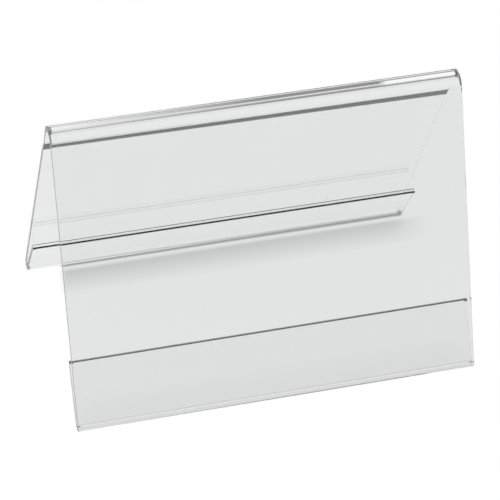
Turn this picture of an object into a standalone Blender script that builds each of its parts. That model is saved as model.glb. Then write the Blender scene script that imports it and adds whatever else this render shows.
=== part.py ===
"""Tent-shaped menu stand, bent from one sheet of clear acrylic.

The sheet is bent along three straight lines: a round ridge at the top, and at
the foot of each leg a tight fold that turns the sheet up inside the tent as
a lip. A card stands in the slot between the panel and the lip. Each bend, and
each flat stretch beside it, is a section of its own here.

Metres, +Z up. X runs along the ridge, the front panel faces -Y, and the
origin is on the table, under the middle of the ridge.
"""
import math

import bmesh
import bpy

# The card that the stand holds on each side, lying on its long edge
CARD_WIDTH = 0.210
CARD_HEIGHT = 0.148
# Spare length of the leg above the card
CARD_HEADROOM = 0.001

# The sheet, and the small chamfer on its polished edges
SHEET_THICKNESS = 0.0025
EDGE_CHAMFER = 0.0003

# Lean of each panel from upright, and of each lip away from its panel
PANEL_LEAN = math.radians(23.0)
LIP_FLARE = math.radians(6.5)

# The bends: the ridge's inner radius, and the slot that each fold leaves open
RIDGE_INNER_RADIUS = 0.005
POCKET_GAP = 0.0015
LIP_HEIGHT = 0.0332

# Width of the line that each fold stands on, as an angle of its bend
SOLE_ANGLE = math.radians(10.0)

# Gap between neighbouring sections of the sheet
SEAM = 0.0003

# Largest turn of one facet on a bend, and the least turn that shows as an edge
FACET_ANGLE = math.radians(7.0)
EDGE_ANGLE = math.radians(30.0)

# Finish of the sheet
ACRYLIC_COLOUR = (0.90, 0.92, 0.92, 1.0)
ACRYLIC_ROUGHNESS = 0.03
ACRYLIC_IOR = 1.49

# Sizes that follow from the ones above
PANEL_LENGTH = CARD_HEIGHT + CARD_HEADROOM
FOLD_INNER_RADIUS = POCKET_GAP / 2
FOLD_OUTER_RADIUS = FOLD_INNER_RADIUS + SHEET_THICKNESS
CHAMFER = min(EDGE_CHAMFER, SHEET_THICKNESS / 4)
LIP_LEAN = PANEL_LEAN + LIP_FLARE


def clear_scene():
    """Remove everything that the scene holds at the start."""
    for item in list(bpy.data.objects):
        bpy.data.objects.remove(item, do_unlink=True)


def acrylic(name):
    """A clear, polished material for one section."""
    material = bpy.data.materials.new(name + "_acrylic")
    material.use_nodes = True
    shader = material.node_tree.nodes["Principled BSDF"]
    shader.inputs["Base Color"].default_value = ACRYLIC_COLOUR
    shader.inputs["Roughness"].default_value = ACRYLIC_ROUGHNESS
    shader.inputs["Metallic"].default_value = 0.0
    shader.inputs["IOR"].default_value = ACRYLIC_IOR
    shader.inputs["Transmission Weight"].default_value = 1.0
    return material


def turn_steps(start, end):
    """Angles from start to end, in equal turns of at most one facet angle."""
    count = max(2, math.ceil(abs(end - start) / FACET_ANGLE))
    count += count % 2
    return [start + (end - start) * step / count for step in range(count + 1)]


def bend_stations(inner_radius, angles):
    """Stations round a bend whose centre is the local origin.

    A station is a point in the middle of the sheet, the sheet's outward
    normal there, and how far both faces are trimmed towards the middle.
    """
    middle = inner_radius + SHEET_THICKNESS / 2
    stations = []
    for angle in angles:
        normal = (math.cos(angle), math.sin(angle))
        stations.append(((middle * normal[0], middle * normal[1]), normal, 0.0))
    return stations


def plate_stations(length, free_top):
    """Stations up a flat plate whose mid-plane stands on the local origin.

    A joined end stops one seam short of its bend, and a free top edge is
    chamfered.
    """
    normal = (1.0, 0.0)
    stations = [((0.0, SEAM), normal, 0.0)]
    if free_top:
        stations.append(((0.0, length - CHAMFER), normal, 0.0))
        stations.append(((0.0, length), normal, CHAMFER))
    else:
        stations.append(((0.0, length - SEAM), normal, 0.0))
    return stations


def outline(stations, trim):
    """Closed outline of a section: up its inner face and back down its outer face."""
    inner = []
    outer = []
    for (y, z), (normal_y, normal_z), own_trim in stations:
        half = SHEET_THICKNESS / 2 - max(trim, own_trim)
        inner.append((y - normal_y * half, z - normal_z * half))
        outer.append((y + normal_y * half, z + normal_z * half))
    return inner + outer[::-1]


def add_section(name, stations, parent, location, lean):
    """Carry a section's outline across the card's width, with chamfered ends."""
    half_width = CARD_WIDTH / 2
    rings = (
        (-half_width, CHAMFER),
        (-half_width + CHAMFER, 0.0),
        (half_width - CHAMFER, 0.0),
        (half_width, CHAMFER),
    )
    mesh = bpy.data.meshes.new(name)
    shape = bmesh.new()
    loops = []
    for x, trim in rings:
        loops.append([shape.verts.new((x, y, z)) for y, z in outline(stations, trim)])
    shape.faces.new(loops[0])
    shape.faces.new(loops[-1])
    for near, far in zip(loops, loops[1:]):
        for corner in range(len(near)):
            after = (corner + 1) % len(near)
            shape.faces.new((near[corner], near[after], far[after], far[corner]))
    bmesh.ops.recalc_face_normals(shape, faces=shape.faces)
    shape.to_mesh(mesh)
    shape.free()
    mesh.materials.append(acrylic(name))
    mesh.shade_smooth()
    mesh.set_sharp_from_angle(angle=EDGE_ANGLE)

    section = bpy.data.objects.new(name, mesh)
    bpy.context.collection.objects.link(section)
    section.parent = parent
    section.location = location
    section.rotation_euler = (lean, 0.0, 0.0)
    return section


def add_empty(name, parent, location, turn):
    """A frame that sections hang from, turned about the upright axis."""
    empty = bpy.data.objects.new(name, None)
    bpy.context.collection.objects.link(empty)
    empty.parent = parent
    empty.location = location
    empty.rotation_euler = (0.0, 0.0, turn)
    return empty


def fold_centre():
    """Centre of the back fold's bend, seen from the ridge's centre, as (y, z)."""
    offset = RIDGE_INNER_RADIUS - FOLD_INNER_RADIUS
    y = offset * math.cos(PANEL_LEAN) + PANEL_LENGTH * math.sin(PANEL_LEAN)
    z = offset * math.sin(PANEL_LEAN) - PANEL_LENGTH * math.cos(PANEL_LEAN)
    return y, z


def add_ridge(ridge):
    """The round bend at the top, from one panel's tangent line to the other's."""
    angles = turn_steps(PANEL_LEAN, math.pi - PANEL_LEAN)
    stations = bend_stations(RIDGE_INNER_RADIUS, angles)
    add_section("ridge_bend", stations, ridge, (0.0, 0.0, 0.0), 0.0)


def add_leg(side, leg):
    """One leg below the ridge: its panel, the fold at its foot and its lip."""
    centre_y, centre_z = fold_centre()
    fold_middle = FOLD_INNER_RADIUS + SHEET_THICKNESS / 2

    panel_y = centre_y + fold_middle * math.cos(PANEL_LEAN)
    panel_z = centre_z + fold_middle * math.sin(PANEL_LEAN)
    stations = plate_stations(PANEL_LENGTH, free_top=False)
    add_section(side + "_panel", stations, leg, (0.0, panel_y, panel_z), PANEL_LEAN)

    sole_start = -math.pi / 2 + SOLE_ANGLE / 2
    sole_end = -math.pi / 2 - SOLE_ANGLE / 2
    angles = turn_steps(PANEL_LEAN, sole_start) + turn_steps(sole_end, LIP_LEAN - math.pi)
    stations = bend_stations(FOLD_INNER_RADIUS, angles)
    add_section(side + "_fold", stations, leg, (0.0, centre_y, centre_z), 0.0)

    lip_y = centre_y - fold_middle * math.cos(LIP_LEAN)
    lip_z = centre_z - fold_middle * math.sin(LIP_LEAN)
    stations = plate_stations(LIP_HEIGHT, free_top=True)
    add_section(side + "_lip", stations, leg, (0.0, lip_y, lip_z), LIP_LEAN)


def main():
    """Build the ridge and two alike legs, the front one turned half round."""
    clear_scene()
    sole_depth = FOLD_OUTER_RADIUS * math.cos(SOLE_ANGLE / 2)
    ridge_height = sole_depth - fold_centre()[1]
    ridge = add_empty("ridge_axis", None, (0.0, 0.0, ridge_height), 0.0)
    add_ridge(ridge)
    for side, turn in (("back", 0.0), ("front", math.pi)):
        leg = add_empty(side + "_leg", ridge, (0.0, 0.0, 0.0), turn)
        add_leg(side, leg)
    bpy.context.view_layer.update()


main()
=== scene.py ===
# %% [markdown]
# # A menu stand bent from one clear acrylic sheet
# The stand is a small tent. One sheet of clear acrylic is heated along three lines and bent: once
# over a round ridge, and once at each foot, where the end of the sheet turns up inside as a lip.
# A menu card stands between panel and lip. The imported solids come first, because the sheet is
# measured against them.

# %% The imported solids
import math

import bpy
import numpy as np
from mathutils import Matrix, Vector


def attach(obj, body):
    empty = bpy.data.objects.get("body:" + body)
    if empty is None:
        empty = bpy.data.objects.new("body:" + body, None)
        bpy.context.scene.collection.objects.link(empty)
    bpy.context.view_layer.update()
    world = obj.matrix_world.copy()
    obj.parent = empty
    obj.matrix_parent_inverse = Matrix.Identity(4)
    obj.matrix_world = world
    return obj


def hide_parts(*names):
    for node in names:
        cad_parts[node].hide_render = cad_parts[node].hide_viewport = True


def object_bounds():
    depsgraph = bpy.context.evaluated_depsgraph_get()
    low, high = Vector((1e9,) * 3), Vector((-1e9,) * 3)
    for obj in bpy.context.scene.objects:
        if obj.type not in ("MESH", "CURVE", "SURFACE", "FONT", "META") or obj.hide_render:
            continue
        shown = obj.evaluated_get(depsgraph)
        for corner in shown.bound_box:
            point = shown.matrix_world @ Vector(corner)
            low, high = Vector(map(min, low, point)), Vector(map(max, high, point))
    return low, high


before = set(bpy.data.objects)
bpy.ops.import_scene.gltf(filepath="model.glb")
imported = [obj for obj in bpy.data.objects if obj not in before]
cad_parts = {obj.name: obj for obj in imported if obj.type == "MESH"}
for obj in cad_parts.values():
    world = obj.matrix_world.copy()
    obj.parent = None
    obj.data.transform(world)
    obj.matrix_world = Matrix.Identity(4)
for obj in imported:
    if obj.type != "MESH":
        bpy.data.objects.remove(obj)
solid_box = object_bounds()
print("solids:", sorted(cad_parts))
print("box in metres:", [[round(value, 5) for value in corner] for corner in solid_box])

# %% [markdown]
# ## Sizes
# All lengths are in metres. The stand holds an A5 card on its long edge, so the ridge is as long
# as that card. The solids are cut into flat stretches and bends. The real sheet is whole, so one
# continuous sheet stands here in place of them all, with the same sizes.

# %% Sizes of the sheet
# Millimetres in a metre, and cubic centimetres in a cubic metre, for what is printed
MM = 1000
CUBIC_CM = 1000000

WIDTH = 0.210
PANEL_LENGTH = 0.149
THICKNESS = 0.0025
PANEL_LEAN = math.radians(23.0)
LIP_LEAN = math.radians(29.5)
LIP_HEIGHT = 0.0332
RIDGE_INNER_RADIUS = 0.005
FOLD_INNER_RADIUS = 0.00075

HALF = THICKNESS / 2
RIDGE_MIDDLE = RIDGE_INNER_RADIUS + HALF
FOLD_MIDDLE = FOLD_INNER_RADIUS + HALF
RIDGE_ARC = RIDGE_MIDDLE * (math.pi / 2 - PANEL_LEAN)
ridge_height = solid_box[1][2] - RIDGE_INNER_RADIUS - THICKNESS
print("the ridge bends round a line %.1f mm above the table" % (ridge_height * MM))

# %% [markdown]
# ## The middle line of one leg
# Bending leaves the middle of a sheet as long as it was, so its middle line is the natural path.
# The path is kept as whole arrays: points, the sheet's outward normals there, and the distance
# from the top of the ridge. Stations crowd together on the bends and beside each change of curve,
# because a clear sheet acts as a lens and shows every kink. A curve object with a bevel could
# carry the section too, but it would not let the thickness change along the way.

# %% Stations along one leg
RIDGE_STEPS = 49
FOLD_STEPS = 65
# Shares of the way down a panel and up a lip: close together beside a bend and where the sheet
# is thinned
SETTLE = np.array([0.0002, 0.0008])
PANEL_TOP = np.linspace(0.003, 0.25, 150)
PANEL_REST = np.linspace(0.26, 0.997, 30)
LIP_REST = np.linspace(0.02, 0.97, 14)
LIP_END = np.array([0.985, 0.999])
LIP_SETTLE = 4
# The rounded free edge of a lip: its height, and its depth on the inner and the outer face
LIP_ROUND = 0.0006
LIP_ROUND_IN = 0.0005
LIP_ROUND_OUT = 0.0008


def direction(angle):
    """Unit vectors (cos, sin) for an array of angles, as rows of (y, z)."""
    return np.stack([np.cos(angle), np.sin(angle)], axis=-1)


def straight(start, along, normal, lengths):
    """Points start + length * along, all with the one normal of a flat stretch."""
    lengths = np.asarray(lengths)[:, None]
    return start + along * lengths, np.repeat(normal[None, :], len(lengths), axis=0)


def round_bend(centre, radius, angles):
    """Points centre + radius * (cos, sin), whose normals point straight out from the centre."""
    normals = direction(angles)
    return centre + radius * normals, normals


panel_out = direction(PANEL_LEAN)
panel_down = np.array([math.sin(PANEL_LEAN), -math.cos(PANEL_LEAN)])
lip_out = direction(LIP_LEAN + math.pi)
lip_up = np.array([-math.sin(LIP_LEAN), math.cos(LIP_LEAN)])
fold_centre = (RIDGE_INNER_RADIUS - FOLD_INNER_RADIUS) * panel_out + PANEL_LENGTH * panel_down
lip_foot = fold_centre + FOLD_MIDDLE * lip_out


def leg_stations():
    """Middle line of the back leg: down from the ridge's top, round the fold and up the lip."""
    panel_shares = np.concatenate([SETTLE, PANEL_TOP, PANEL_REST, 1 - SETTLE[::-1]])
    lip_shares = np.concatenate([SETTLE * LIP_SETTLE, LIP_REST, LIP_END])
    ridge_turn = np.linspace(math.pi / 2, PANEL_LEAN, RIDGE_STEPS)
    fold_turn = np.linspace(PANEL_LEAN, LIP_LEAN - math.pi, FOLD_STEPS)
    parts = [
        round_bend(np.zeros(2), RIDGE_MIDDLE, ridge_turn),
        straight(RIDGE_MIDDLE * panel_out, panel_down, panel_out, PANEL_LENGTH * panel_shares),
        round_bend(fold_centre, FOLD_MIDDLE, fold_turn),
        straight(lip_foot, lip_up, lip_out, (LIP_HEIGHT - LIP_ROUND) * lip_shares),
    ]
    points = np.concatenate([part[0] for part in parts])
    normals = np.concatenate([part[1] for part in parts])
    steps = np.linalg.norm(np.diff(points, axis=0), axis=1)
    return points, normals, np.concatenate([[0.0], np.cumsum(steps)])


points, normals, along = leg_stations()
print("stations on one leg:", len(along))
print("sheet from ridge to lip: %.1f mm" % (along[-1] * MM))

# %% [markdown]
# ## Thickness
# A hot bend squeezes the inside of the ridge and stretches its outside. Just below it, where the
# heated strip ended, the soft back leg is drawn thin. These changes are about a millimetre at
# most, but they act as lenses: the swell gives the ridge its grey stripe with a thin line under
# it, and the hollow makes the dark band below. The hollow runs slightly askew, as a hand-bent
# sheet does.

# %% Thickness along the sheet
# How much each change adds or takes away, where it is, and how far it reaches
RIDGE_SWELL = 0.001159
RIDGE_SWELL_REACH = 0.0091
RIDGE_STRETCH = 0.000369
RIDGE_STRETCH_REACH = 0.01272
HOLLOW_PLACE = 0.01277
HOLLOW_REACH = 0.0101
HOLLOW_DEPTH = 0.001094
# How far the hollow moves down, and the share by which it deepens, for each metre to the right
HOLLOW_SKEW = 0.010
HOLLOW_GROWTH = 1.2


def bump(distance):
    """A smooth hump: (1 - d squared) squared for d from -1 to 1, and zero beyond."""
    return (1 - np.clip(distance, -1, 1) ** 2) ** 2


def inner_half(along):
    """Half thickness on the inside of the bends: half the sheet plus the swell at the ridge."""
    return HALF + RIDGE_SWELL * bump(along / RIDGE_SWELL_REACH)


def outer_half(along, x, hollowed):
    """Half thickness on the outside: half the sheet less the stretch, and less the back hollow."""
    place = RIDGE_ARC + HOLLOW_PLACE + HOLLOW_SKEW * x[:, None]
    depth = HOLLOW_DEPTH * (1 + HOLLOW_GROWTH * x[:, None])
    hollow = depth * bump((along - place) / HOLLOW_REACH) * hollowed
    return HALF - RIDGE_STRETCH * bump(along / RIDGE_STRETCH_REACH) - hollow


print("sheet at the ridge: %.2f mm" % (MM * (THICKNESS + RIDGE_SWELL - RIDGE_STRETCH)))
print("sheet at the hollow: %.2f mm" % (MM * (THICKNESS - HOLLOW_DEPTH)))

# %% [markdown]
# ## The whole sheet
# The leg's line is mirrored for the front, and its inner and outer faces make one closed outline.
# The outline is carried along the ridge on rings. At each end the last rings shrink by some
# hundredths of a millimetre, because polishing breaks a sharp corner. It could be a plane with
# Solidify and Bevel, but then the bends would be facets, and the thickness could not change. The
# points are clipped to the solids' box, which gives each fold the same narrow flat to stand on.

# %% Rounded edges
EDGE_ROUND = 0.00002
EDGE_STEPS = 5
BETWEEN_RINGS = 20
# Rings close to each end, between which the painted dark marks below can start and stop
END_SUPPORT = np.array([0.00003, 0.0004, 0.0005, 0.0016, 0.0017])
quarter_turn = np.linspace(0, math.pi / 2, EDGE_STEPS)


def mirrored(rows, sign=1.0):
    """The back leg's rows from its lip to the ridge, then the front leg's from ridge to lip."""
    return np.concatenate([rows[::-1], rows[1:] * sign])


def sheet_path():
    """Points, normals, share of lip round, distance and painted shade line of every station, lip to
    lip.
    """
    drop = LIP_ROUND * (1 - np.sin(quarter_turn))
    rounding = 1 - np.cos(quarter_turn)
    edge_points = lip_foot + lip_up * (LIP_HEIGHT - drop[:, None])
    edge_normals = np.repeat(lip_out[None, :], EDGE_STEPS, axis=0)
    flip = np.array([-1.0, 1.0])
    blank = np.zeros(len(points))
    return (
        mirrored(np.concatenate([points, edge_points]), flip),
        mirrored(np.concatenate([normals, edge_normals]), flip),
        mirrored(np.concatenate([blank, rounding])),
        mirrored(np.concatenate([along, along[-1] + LIP_ROUND - drop])),
        # Ones on the lip's rounded corners: the painted shade lines
        mirrored(np.concatenate([blank, np.ones(EDGE_STEPS)])),
    )


def rings_along():
    """Places of the rings along the ridge, and how far the outline shrinks at each."""
    corner_x = EDGE_ROUND * (1 - np.cos(quarter_turn))
    corner_inset = EDGE_ROUND * (1 - np.sin(quarter_turn))
    end_x = np.concatenate([corner_x, EDGE_ROUND + END_SUPPORT])
    end_inset = np.concatenate([corner_inset, np.zeros(len(END_SUPPORT))])
    between = np.linspace(-WIDTH / 2, WIDTH / 2, BETWEEN_RINGS + 2)[1:-1]
    ring_x = np.concatenate([end_x - WIDTH / 2, between, WIDTH / 2 - end_x[::-1]])
    return ring_x, np.concatenate([end_inset, np.zeros(BETWEEN_RINGS), end_inset[::-1]])


print("rings along the ridge:", len(rings_along()[0]))

# %% Surface of the sheet
def sheet_surface():
    """Grid of points, rings by outline: the middle line less, then plus, the half thickness."""
    line, facing, rounding, distance, _ = sheet_path()
    ring_x, ring_inset = rings_along()
    on_back = np.arange(len(line)) < len(points) + EDGE_STEPS
    inner = inner_half(distance) - np.maximum(LIP_ROUND_IN * rounding, ring_inset[:, None])
    outer = outer_half(distance[None, :], ring_x, on_back)
    outer = outer - np.maximum(LIP_ROUND_OUT * rounding, ring_inset[:, None])
    inner_face = line - facing * inner[..., None]
    outer_face = line + facing * outer[..., None]
    loop = np.concatenate([inner_face, outer_face[:, ::-1]], axis=1)
    x = np.broadcast_to(ring_x[:, None, None], loop.shape[:2] + (1,))
    grid = np.concatenate([x, loop], axis=2) + [0.0, 0.0, ridge_height]
    return np.clip(grid, *solid_box)


def grid_faces(rings, count):
    """Quads between neighbouring rings, then strips that close the two ends across the sheet."""
    index = np.arange(rings * count).reshape(rings, count)
    after = np.roll(index, -1, axis=1)
    sides = np.stack([index[:-1], index[1:], after[1:], after[:-1]], axis=-1).reshape(-1, 4)
    step = np.arange(count // 2 - 1)
    strip = np.stack([step, step + 1, count - 2 - step, count - 1 - step], axis=-1)
    return np.concatenate([sides, strip, strip[:, ::-1] + (rings - 1) * count])


def enclosed(corners, faces):
    """Volume inside closed quads: a sixth of the triple products of their two triangles."""
    a, b, c, d = (corners[faces[:, column]] for column in range(4))
    return float(((a * np.cross(b, c)).sum() + (a * np.cross(c, d)).sum()) / 6)


grid = sheet_surface()
rings, count = grid.shape[:2]
faces = grid_faces(rings, count)
volume = enclosed(grid.reshape(-1, 3), faces)
print("sheet: %d points, %d faces" % (rings * count, len(faces)))
print("acrylic in it: %.1f cubic centimetres" % (volume * CUBIC_CM))

# %% The bent sheet
SHARP_TURN = math.radians(35.0)

mesh = bpy.data.meshes.new("bent_sheet")
mesh.from_pydata(grid.reshape(-1, 3).tolist(), [], faces.tolist())
flat_ends = np.arange(len(faces)) >= (rings - 1) * count
mesh.polygons.foreach_set("use_smooth", ~flat_ends)
mesh.set_sharp_from_angle(angle=SHARP_TURN)
sheet = bpy.data.objects.new("bent_sheet", mesh)
bpy.context.scene.collection.objects.link(sheet)
print("made:", sheet.name)

# %% [markdown]
# ## Dark marks painted on the edges
# The ends of the sheet are polished and clear. The ends of each bend look dark, and they are
# painted dark: a thin rim round the ridge, and a spot on its top, under each fold and at each lip's
# corner. A faint line of painted shade lies on each fold's outside, where the lip begins. The lips'
# free edges were sawn: their rounded corners throw light aside and look like dark lines, which are
# painted in as shade, and their flat tops look white. A point attribute holds how dark each place
# is painted, and the flat tops get a material slot of their own. Painting by hand would do as
# well, but numbers stay right when the sheet changes.

# %% Painted dark marks
# How dark the ends of the bends are painted
PAINTED_END_DARK = 0.9
# How dark the line of painted shade on each fold's outside is
PAINTED_FOLD_LINE_DARK = 0.2
# Where the painted fold line and the low part of a fold start and end, as shares of the way round
# it
FOLD_LINE_START = 0.75
FOLD_LINE_END = 1.0
FOLD_LOW_START = 0.25
FOLD_LOW_END = 0.75
# How far the painted dark rim and spots reach in from an end, and the spots down from a lip's top
# and to each side of the ridge's top
RIM_MARK = 0.00045
SPOT_MARK = 0.00165
LIP_MARK = 0.0008
APEX_REACH = 0.0018

path_distance, painted_lip_lines = sheet_path()[3:]
end_gap = WIDTH / 2 - np.abs(rings_along()[0])[:, None]
fold_arc = FOLD_MIDDLE * (math.pi + PANEL_LEAN - LIP_LEAN)
past_fold = (path_distance - RIDGE_ARC - PANEL_LENGTH) / fold_arc
ridge_end = (path_distance < RIDGE_ARC) & (end_gap < RIM_MARK)
apex_end = (path_distance < APEX_REACH) & (end_gap < SPOT_MARK)
low_fold = (past_fold > FOLD_LOW_START) & (past_fold < FOLD_LOW_END)
foot_end = (low_fold | (path_distance > along[-1] - LIP_MARK)) & (end_gap < SPOT_MARK)
painted_fold_line = (past_fold > FOLD_LINE_START) & (past_fold < FOLD_LINE_END)
# Painted dark marks: shade lines on lip corners, dark bend ends and a shade line on each fold
inside = np.maximum(painted_lip_lines, PAINTED_END_DARK * (ridge_end | apex_end | foot_end))
outside = np.maximum(inside, PAINTED_FOLD_LINE_DARK * painted_fold_line)
painted_dark_marks = np.concatenate([inside, outside[:, ::-1]], axis=1)
mesh.attributes.new("painted_dark_marks", "FLOAT", "POINT").data.foreach_set("value", painted_dark_marks.ravel())
print("marked points: %d of %d" % ((painted_dark_marks > 0).sum(), painted_dark_marks.size))

# %% Sawn tops
column = np.arange((rings - 1) * count) % count
lip_flat = (column == count - 1) | (column == count // 2 - 1)
sawn = np.concatenate([lip_flat, np.zeros(len(faces) - len(lip_flat), dtype=bool)])
print("sawn faces: %d of %d" % (sawn.sum(), len(faces)))

# %% [markdown]
# ## Handling wear
# A stand on a counter is wiped and touched. It gathers fine rubbed lines that run mostly along
# it, and specks of dust. Both finishes need them, so they are one node group that puts out two
# masks.

# %% Node helpers
def feed(tree, socket, value):
    """Link an output into a socket, or set the socket to a plain value."""
    if isinstance(value, bpy.types.NodeSocket):
        tree.links.new(value, socket)
    else:
        socket.default_value = value


def node(tree, kind, inputs=None, **settings):
    """A new node with its settings, its inputs fed by name or by number."""
    item = tree.nodes.new(kind)
    for name, value in settings.items():
        setattr(item, name, value)
    for name, value in (inputs or {}).items():
        feed(tree, item.inputs[name], value)
    return item


def calculate(tree, operation, first, second=0.0):
    """The output of a Math node on two values."""
    return node(tree, "ShaderNodeMath", {0: first, 1: second}, operation=operation).outputs[0]


def remap(tree, value, start, end, low, high, smooth=False):
    """The output of a Map Range node from (start, end) to (low, high)."""
    kind = "SMOOTHSTEP" if smooth else "LINEAR"
    inputs = {"Value": value, "From Min": start, "From Max": end, "To Min": low, "To Max": high}
    return node(tree, "ShaderNodeMapRange", inputs, interpolation_type=kind).outputs["Result"]


def blend(tree, factor, first, second):
    """The output of a colour Mix node."""
    inputs = {"Factor": factor, "A": first, "B": second}
    return node(tree, "ShaderNodeMix", inputs, data_type="RGBA").outputs["Result"]


print("node helpers:", [helper.__name__ for helper in (feed, node, calculate, remap, blend)])

# %% Rubbed lines and dust
# The lines' slant in radians, and how far the noise is drawn out along the stand
RUBBED_TURN = (0.2, 0.12, 0.06)
RUBBED_STRETCH = (25.0, 900.0, 900.0)
# Cells in a metre, and a speck's radius in cells, without and with its soft rim
DUST_CELLS = 160.0
DUST_CORE = 0.03
DUST_RIM = 0.06


def wear_group():
    """Node group: Rubbed Lines from stretched noise, Dust in the middles of a few random cells."""
    group = bpy.data.node_groups.new("handling_wear", "ShaderNodeTree")
    for name in ("Line Share", "Dust Share"):
        group.interface.new_socket(name, in_out="INPUT", socket_type="NodeSocketFloat")
    for name in ("Rubbed Lines", "Dust"):
        group.interface.new_socket(name, in_out="OUTPUT", socket_type="NodeSocketFloat")
    given = node(group, "NodeGroupInput")
    place = node(group, "ShaderNodeTexCoord").outputs["Object"]
    turned = node(group, "ShaderNodeMapping", {"Vector": place, "Rotation": RUBBED_TURN}).outputs[0]
    drawn_out = {"Vector": turned, "Scale": RUBBED_STRETCH}
    stretched = node(group, "ShaderNodeMapping", drawn_out).outputs[0]
    noise = node(group, "ShaderNodeTexNoise", {"Vector": stretched, "Scale": 1.0})
    edge = calculate(group, "SUBTRACT", 1.0, given.outputs["Line Share"])
    lines = calculate(group, "GREATER_THAN", noise.outputs["Fac"], edge)
    cells = node(group, "ShaderNodeTexVoronoi", {"Vector": place, "Scale": DUST_CELLS})
    middle = remap(group, cells.outputs["Distance"], DUST_CORE, DUST_RIM, 1.0, 0.0)
    chosen = node(group, "ShaderNodeSeparateColor", {"Color": cells.outputs["Color"]})
    kept = calculate(group, "LESS_THAN", chosen.outputs["Red"], given.outputs["Dust Share"])
    specks = calculate(group, "MULTIPLY", middle, kept)
    node(group, "NodeGroupOutput", {"Rubbed Lines": lines, "Dust": specks})
    return group


wear = wear_group()
masks_made = [item.name for item in wear.interface.items_tree if item.in_out == "OUTPUT"]
print("wear masks:", masks_made)

# %% [markdown]
# ## Light in the sheet
# Light that is focused through a clear sheet is slow to compute, so for shadow and diffuse rays
# the sheet is a thin veil instead. One layer and four shade the table alike in the photo, so only
# the first surface on a ray's way tints it. Light that is mirrored inside the sheet again and
# again would leave it at last through an edge, much dimmed. It is let out early, with a dark
# tint, which gives the band below the ridge its grey. Both finishes need this and the wear, so
# two helpers add them.

# %% What both finishes share
INDEX = 1.49
LINE_SHARE = 0.30
DUST_SHARE = 0.06
VEIL_TINT = (0.90, 0.905, 0.905, 1.0)
NO_TINT = (1.0, 1.0, 1.0, 1.0)
# Bounces below the first count as none, and light mirrored more often than the second is caught
NONE_YET = 0.5
CAUGHT_AFTER = 3.5
CAUGHT_TINT = (0.13, 0.13, 0.13, 1.0)


def finish(name):
    """A new material with its shader and its wear masks."""
    material = bpy.data.materials.new(name)
    material.use_nodes = True
    tree = material.node_tree
    shares = {"Line Share": LINE_SHARE, "Dust Share": DUST_SHARE}
    masks = node(tree, "ShaderNodeGroup", shares, node_tree=wear)
    shader = tree.nodes["Principled BSDF"]
    shader.inputs["IOR"].default_value = INDEX
    return material, tree, shader, masks.outputs


def veiled(tree, shader):
    """Let shadow, diffuse and caught rays through, tinted by the first surface that they meet."""
    path = node(tree, "ShaderNodeLightPath").outputs
    soft = calculate(tree, "MAXIMUM", path["Is Shadow Ray"], path["Is Diffuse Ray"])
    caught = calculate(tree, "GREATER_THAN", path["Glossy Depth"], CAUGHT_AFTER)
    passing = calculate(tree, "MAXIMUM", soft, caught)
    first = calculate(tree, "LESS_THAN", path["Transparent Depth"], NONE_YET)
    tint = blend(tree, first, NO_TINT, blend(tree, caught, VEIL_TINT, CAUGHT_TINT))
    veil = node(tree, "ShaderNodeBsdfTransparent", {"Color": tint}).outputs[0]
    both = node(tree, "ShaderNodeMixShader", {0: passing, 1: shader.outputs[0], 2: veil})
    feed(tree, tree.nodes["Material Output"].inputs["Surface"], both.outputs[0])


print("index of the acrylic:", INDEX)

# %% [markdown]
# ## Clear acrylic
# Acrylic bends light less than glass does, with an index of 1.49, and it is almost without
# colour. A glass shader would do, but the full surface shader has sockets of its own for colour,
# roughness and index, which last when the part is exported. Wear changes its colour and
# roughness, and the painted dark marks darken its colour.

# %% Clear acrylic
CLEAR_TINT = (0.990, 0.996, 0.996, 1.0)
# Near black: the colour painted at the dark marks
PAINTED_DARK_TINT = (0.02, 0.02, 0.022, 1.0)
RUBBED_TINT = (0.972, 0.979, 0.979, 1.0)
DUST_TINT = (0.55, 0.54, 0.52, 1.0)
RUBBED_ROUGHNESS = 0.03


def clear_acrylic():
    """Polished sheet: clear, with faint wear, and painted dark at the edge marks."""
    material, tree, shader, masks = finish("clear_acrylic")
    shader.inputs["Transmission Weight"].default_value = 1.0
    # How dark each place is painted, read from the point attribute
    marked = node(tree, "ShaderNodeAttribute", attribute_name="painted_dark_marks").outputs["Fac"]
    rubbed = blend(tree, masks["Rubbed Lines"], CLEAR_TINT, RUBBED_TINT)
    dusty = blend(tree, masks["Dust"], rubbed, DUST_TINT)
    feed(tree, shader.inputs["Base Color"], blend(tree, marked, dusty, PAINTED_DARK_TINT))
    rough = remap(tree, masks["Rubbed Lines"], 0.0, 1.0, 0.0, RUBBED_ROUGHNESS)
    feed(tree, shader.inputs["Roughness"], rough)
    veiled(tree, shader)
    return material


mesh.materials.append(clear_acrylic())
print("finish:", mesh.materials[0].name)

# %% [markdown]
# ## Sawn edge
# The flat tops of the lips were sawn and scraped, not polished as the ends were. Their fine
# grooves scatter light, so they look milky. A rough, opaque white does this well, with saw marks
# that run across the sheet.

# %% Sawn edge
MILKY = (0.93, 0.94, 0.94, 1.0)
GROOVE_TINT = (0.80, 0.81, 0.81, 1.0)
SAW_STRETCH = (2500.0, 900.0, 900.0)
SAWN_ROUGHNESS = 0.6
RUBBED_SAWN_ROUGHNESS = 0.45
GROOVE_DEPTH = 0.00005


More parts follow.
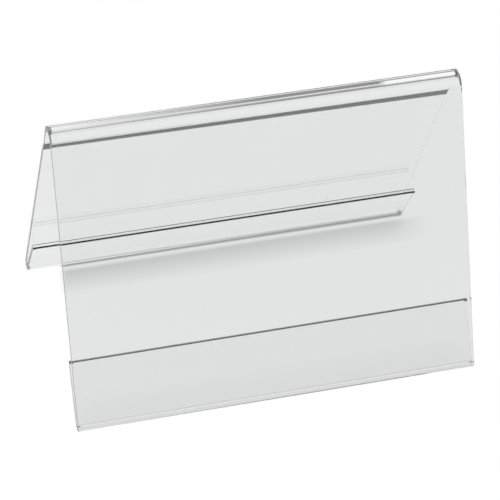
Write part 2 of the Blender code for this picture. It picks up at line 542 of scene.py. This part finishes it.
def sawn_edge():
    """Matt edge: milky, with uneven saw marks in its colour and its relief."""
    material, tree, shader, masks = finish("sawn_edge")
    place = node(tree, "ShaderNodeTexCoord").outputs["Object"]
    stretched = node(tree, "ShaderNodeMapping", {"Vector": place, "Scale": SAW_STRETCH}).outputs[0]
    noise = node(tree, "ShaderNodeTexNoise", {"Vector": stretched, "Scale": 1.0})
    grooves = noise.outputs["Fac"]
    marked = blend(tree, grooves, MILKY, GROOVE_TINT)
    feed(tree, shader.inputs["Base Color"], blend(tree, masks["Dust"], marked, DUST_TINT))
    rubbed = masks["Rubbed Lines"]
    rough = remap(tree, rubbed, 0.0, 1.0, SAWN_ROUGHNESS, RUBBED_SAWN_ROUGHNESS)
    feed(tree, shader.inputs["Roughness"], rough)
    relief = node(tree, "ShaderNodeBump", {"Height": grooves, "Distance": GROOVE_DEPTH})
    feed(tree, shader.inputs["Normal"], relief.outputs["Normal"])
    veiled(tree, shader)
    return material


mesh.materials.append(sawn_edge())
mesh.polygons.foreach_set("material_index", sawn.astype(np.int32))
print("finish:", mesh.materials[1].name)

# %% [markdown]
# ## Camera
# The camera's place was solved from straight lines in the photo: it looks down from the front
# left. It comes before the light, because the lamp stands just behind it.

# %% Camera
# How far the camera stands above the level, to the left and tilted, and how far away
RISE = math.radians(41.737)
TURN = math.radians(17.141)
ROLL = math.radians(2.888)
DISTANCE = 1.357950
# How far it is moved aside and up from looking straight at the ridge's middle
AIM_RIGHT = -0.003019
AIM_UP = -0.068676
# The picture's width and the focal length in pixels, and the film's width in millimetres
PICTURE = 500
FOCAL = 2743.817
FILM = 36.0

ahead = np.array([math.sin(TURN), math.cos(TURN), 0.0])
level = np.array([math.cos(TURN), -math.sin(TURN), 0.0])
back = np.array([0.0, 0.0, math.sin(RISE)]) - math.cos(RISE) * ahead
over = np.cross(back, level)
right = math.cos(ROLL) * level + math.sin(ROLL) * over
up = -math.sin(ROLL) * level + math.cos(ROLL) * over
eye = back * DISTANCE + right * AIM_RIGHT + up * AIM_UP + np.array([0.0, 0.0, ridge_height])
lens = bpy.data.cameras.new("photo_camera")
lens.sensor_width = FILM
lens.lens = FOCAL / PICTURE * FILM
camera = bpy.data.objects.new("photo_camera", lens)
bpy.context.scene.collection.objects.link(camera)
view = np.eye(4)
view[:3] = np.stack([right, up, back, eye], axis=1)
camera.matrix_world = Matrix(view.tolist())
bpy.context.scene.camera = camera
bpy.context.scene.view_settings.view_transform = "Standard"
print("camera at", np.round(eye, 3).tolist())

# %% [markdown]
# ## Lamp
# One soft lamp stands just behind the camera, so the stand's shadow hides behind it, as in the
# photo. It is left out of reflections, because the room below gives those. A sun lamp would be
# simpler, but it lights all of the table alike, and the shadow would have a hard edge.

# %% Lamp
# The lamp's place as a share of the camera's, its side, its watts and the point that it faces
LAMP_BACKING = 1.03
LAMP_SIZE = 0.04
LAMP_POWER = 18.0
LAMP_AIM = Vector((0.0, 0.0, 0.06))


def soft_lamp(name, place, size, power):
    """A square lamp turned towards the stand, and left out of reflections."""
    lamp = bpy.data.lights.new(name, "AREA")
    lamp.size = size
    lamp.energy = power
    item = bpy.data.objects.new(name, lamp)
    bpy.context.scene.collection.objects.link(item)
    item.location = place
    item.rotation_euler = (LAMP_AIM - Vector(place)).to_track_quat("-Z", "Y").to_euler()
    item.visible_glossy = False
    item.visible_transmission = False
    return item


front_lamp = soft_lamp("front_lamp", (eye * LAMP_BACKING).tolist(), LAMP_SIZE, LAMP_POWER)
print("lamp:", front_lamp.name, front_lamp.data.energy, "watts")

# %% [markdown]
# ## Table
# The stand is on a plain white table. Its colour is graded, a little darker towards the lamp, so
# that it looks evenly white. Light Path gives it some white of its own for what the camera sees,
# and less for what is seen through the sheet, which looks a little greyer. Ambient Occlusion
# paints soft shade into its colour inside the tent, most at the back, and a thin line where a fold
# touches it. A mirror image of that shade would grey the lips, so only rays that were never
# mirrored see it. Far behind the stand, where the light would fall away, painted shade fades the
# table to grey, for the ridge to show.

# %% Shade under the tent
# The thin line's reach and darkest level, then the wide shade's
TOUCH_REACH = 0.0015
TOUCH_SHADE = 0.2
NEAR_REACH = 0.020
NEAR_SHADE = 0.55
SHADE_SAMPLES = 8
# From the front fold to the back one, the soft edge there, and the share of shade in front
TENT_FRONT = -0.058
TENT_BACK = 0.055
TENT_MARGIN = 0.003
FRONT_SHARE = 0.15
# The left end, along which the shade starts on a slant
SIDE_SLANT = (1.0, -0.16, 0.0)
SIDE_START = -0.098
SIDE_WITHIN = -0.094


def closeness(tree, reach, darkest):
    """Light left by what stands within reach: from the darkest level up to 1 where nothing does."""
    nearby = node(tree, "ShaderNodeAmbientOcclusion", {"Distance": reach}, samples=SHADE_SAMPLES)
    return remap(tree, nearby.outputs["AO"], 0.0, 1.0, darkest, 1.0)


def tent_shade(tree, place, depth, path):
    """Light left under the tent: the thin line's level times the wide shade's level."""
    touch_level = closeness(tree, TOUCH_REACH, TOUCH_SHADE)
    near_level = closeness(tree, NEAR_REACH, NEAR_SHADE)
    slant = node(tree, "ShaderNodeVectorMath", {0: place, 1: SIDE_SLANT}, operation="DOT_PRODUCT")
    unmirrored = calculate(tree, "LESS_THAN", path["Glossy Depth"], NONE_YET)
    deeper = remap(tree, depth, TENT_FRONT, TENT_BACK, FRONT_SHARE, unmirrored)
    entered = remap(tree, depth, TENT_FRONT - TENT_MARGIN, TENT_FRONT, 0.0, deeper)
    covered = remap(tree, slant.outputs["Value"], SIDE_START, SIDE_WITHIN, 0.0, entered)
    under = remap(tree, depth, TENT_BACK, TENT_BACK + TENT_MARGIN, covered, 0.0)
    narrow = remap(tree, covered, 0.0, 1.0, 1.0, touch_level)
    wide = remap(tree, under, 0.0, 1.0, 1.0, near_level)
    return calculate(tree, "MULTIPLY", narrow, wide)


print("shade: %.1f mm round a fold, %.0f mm under the tent" % (TOUCH_REACH * MM, NEAR_REACH * MM))

# %% White table
# Whites near the lamp and far from it, and how far away those are
WHITE_NEAR = 0.655
WHITE_FAR = 1.0
NEAR_DISTANCE = 1.25
FAR_DISTANCE = 1.85
# Painted shade far behind the stand, where the light would fall away: the fade to grey
FADE_START = 0.42
FADE_END = 0.70
PAINTED_FAR_SHADE = (0.30, 0.30, 0.30, 1.0)
# The table's own white, plain and through the sheet
OWN_WHITE = 0.58
WHITE_THROUGH = 0.39
TABLE_ROUGHNESS = 0.9


def own_white(tree, path):
    """Strength of the table's own white: full for the camera, less for mirrored and bent rays."""
    bent = calculate(tree, "MAXIMUM", path["Is Glossy Ray"], path["Is Transmission Ray"])
    through = calculate(tree, "MULTIPLY", bent, WHITE_THROUGH)
    plain = calculate(tree, "MULTIPLY", path["Is Camera Ray"], OWN_WHITE)
    return calculate(tree, "MAXIMUM", plain, through)


def white_table():
    """White graded by the lamp's distance, times the tent's shade, and painted shade far behind."""
    material = bpy.data.materials.new("white_table")
    material.use_nodes = True
    tree = material.node_tree
    shader = tree.nodes["Principled BSDF"]
    shader.inputs["Roughness"].default_value = TABLE_ROUGHNESS
    shader.inputs["Specular IOR Level"].default_value = 0.0
    place = node(tree, "ShaderNodeTexCoord").outputs["Object"]
    depth = node(tree, "ShaderNodeSeparateXYZ", {0: place}).outputs["Y"]
    path = node(tree, "ShaderNodeLightPath").outputs
    ends = {0: place, 1: eye.tolist()}
    lamp_gap = node(tree, "ShaderNodeVectorMath", ends, operation="DISTANCE").outputs["Value"]
    graded = remap(tree, lamp_gap, NEAR_DISTANCE, FAR_DISTANCE, WHITE_NEAR, WHITE_FAR)
    shaded = calculate(tree, "MULTIPLY", graded, tent_shade(tree, place, depth, path))
    # Painted shade: far behind the stand the colour fades to grey
    far = remap(tree, depth, FADE_START, FADE_END, 0.0, 1.0)
    colour = blend(tree, far, shaded, PAINTED_FAR_SHADE)
    feed(tree, shader.inputs["Base Color"], colour)
    feed(tree, shader.inputs["Emission Color"], colour)
    feed(tree, shader.inputs["Emission Strength"], own_white(tree, path))
    return material


table_finish = white_table()
print("table finish:", table_finish.name)

# %% Table
# Its radius, how far below the folds it lies, and the corners of its round rim
TABLE_RADIUS = 1.5
TABLE_DROP = 0.0001
TABLE_SIDES = 96

around = np.linspace(0, 2 * math.pi, TABLE_SIDES, endpoint=False)
table_rim = np.column_stack([TABLE_RADIUS * direction(around), np.full(TABLE_SIDES, -TABLE_DROP)])
table_mesh = bpy.data.meshes.new("table")
table_mesh.from_pydata(table_rim.tolist(), [], [list(range(TABLE_SIDES))])
table_mesh.materials.append(table_finish)
table = bpy.data.objects.new("table", table_mesh)
bpy.context.scene.collection.objects.link(table)
print("table: %.1f m across" % (2 * TABLE_RADIUS))

# %% [markdown]
# ## Room
# A clear sheet has no look of its own: it shows the room. In front, the room is dark grey near
# the horizon, which the front panel and lip mirror as a slight tone, and paler above. At the back
# it is grey, with a bright strip that gives the ridge its light line, and white overhead, between
# a soft glow on the left and a white board on the right. For diffuse light the room is plain and
# dim, because the lamp gives most of it. Real cards and lamps could stand round the table, but a
# few graded angles are easier to change.

# %% Back of the room
# The grey, and the bright strip over it, which rises, stays and ends at these heights
BACK_LOW = 0.25
STRIP_LEVEL = 0.80
STRIP_FOOT = math.radians(21.0)
STRIP_FULL = math.radians(29.0)
STRIP_TOP = math.radians(32.0)
STRIP_END = math.radians(36.0)
ABOVE_STRIP = 0.15
OVERHEAD_LOW = math.radians(48.0)
OVERHEAD_HIGH = math.radians(70.0)
# Where the glow ends and the board starts, from left to right, and the board's heights
GLOW_START = 0.150
GLOW_END = 0.232
BOARD_START = 0.272
BOARD_END = 0.276
BOARD_FOOT = math.radians(3.0)
BOARD_TOP = math.radians(32.0)
BOARD_EDGE = math.radians(2.0)


def white_board(tree, x, height):
    """1 on the board and 0 off it: above its foot, times below its top, times right of its side."""
    above = remap(tree, height, BOARD_FOOT, BOARD_FOOT + BOARD_EDGE, 0.0, 1.0)
    below = remap(tree, height, BOARD_TOP, BOARD_TOP + BOARD_EDGE, 1.0, 0.0)
    beside = remap(tree, x, BOARD_START, BOARD_END, 0.0, 1.0)
    return calculate(tree, "MULTIPLY", calculate(tree, "MULTIPLY", above, below), beside)


def back_of_room(tree, x, height):
    """The brightest of the graded back, the white overhead and the board."""
    glow = remap(tree, x, GLOW_START, GLOW_END, 1.0, BACK_LOW)
    rising = remap(tree, height, STRIP_FOOT, STRIP_FULL, glow, STRIP_LEVEL)
    graded = remap(tree, height, STRIP_TOP, STRIP_END, rising, ABOVE_STRIP)
    overhead = remap(tree, height, OVERHEAD_LOW, OVERHEAD_HIGH, 0.0, 1.0)
    brightest = calculate(tree, "MAXIMUM", overhead, white_board(tree, x, height))
    return calculate(tree, "MAXIMUM", graded, brightest)


print("back of the room: grey %.2f, strip %.2f" % (BACK_LOW, STRIP_LEVEL))

# %% Room
# Levels in front, and the heights between which they rise
FRONT_LOW = 0.30
FRONT_HIGH = 0.60
FRONT_FOOT = math.radians(25.0)
FRONT_FULL = math.radians(45.0)
# Where the front turns into the back, and the plain level for diffuse light
TURN_START = -0.10
TURN_END = 0.25
PLAIN_LEVEL = 0.15


def studio():
    """World: levels graded by height in front and at the back, and plain for diffuse light."""
    world = bpy.data.worlds.new("studio")
    world.use_nodes = True
    tree = world.node_tree
    towards = node(tree, "ShaderNodeTexCoord").outputs["Generated"]
    x, y, z = node(tree, "ShaderNodeSeparateXYZ", {0: towards}).outputs
    height = calculate(tree, "ARCSINE", z)
    at_back = back_of_room(tree, x, height)
    in_front = remap(tree, height, FRONT_FOOT, FRONT_FULL, FRONT_LOW, FRONT_HIGH)
    share = remap(tree, y, TURN_START, TURN_END, 0.0, 1.0, smooth=True)
    shown = tree.nodes["Background"]
    feed(tree, shown.inputs["Color"], remap(tree, share, 0.0, 1.0, in_front, at_back))
    plain = node(tree, "ShaderNodeBackground", {"Color": NO_TINT, "Strength": PLAIN_LEVEL})
    diffuse = node(tree, "ShaderNodeLightPath").outputs["Is Diffuse Ray"]
    sources = {0: diffuse, 1: shown.outputs[0], 2: plain.outputs[0]}
    both = node(tree, "ShaderNodeMixShader", sources)
    feed(tree, tree.nodes["World Output"].inputs["Surface"], both.outputs[0])
    return world


bpy.context.scene.world = studio()
print("front of the room: %.2f low, %.2f high" % (FRONT_LOW, FRONT_HIGH))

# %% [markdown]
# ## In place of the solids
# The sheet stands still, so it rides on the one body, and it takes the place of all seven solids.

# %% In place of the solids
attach(sheet, "root")
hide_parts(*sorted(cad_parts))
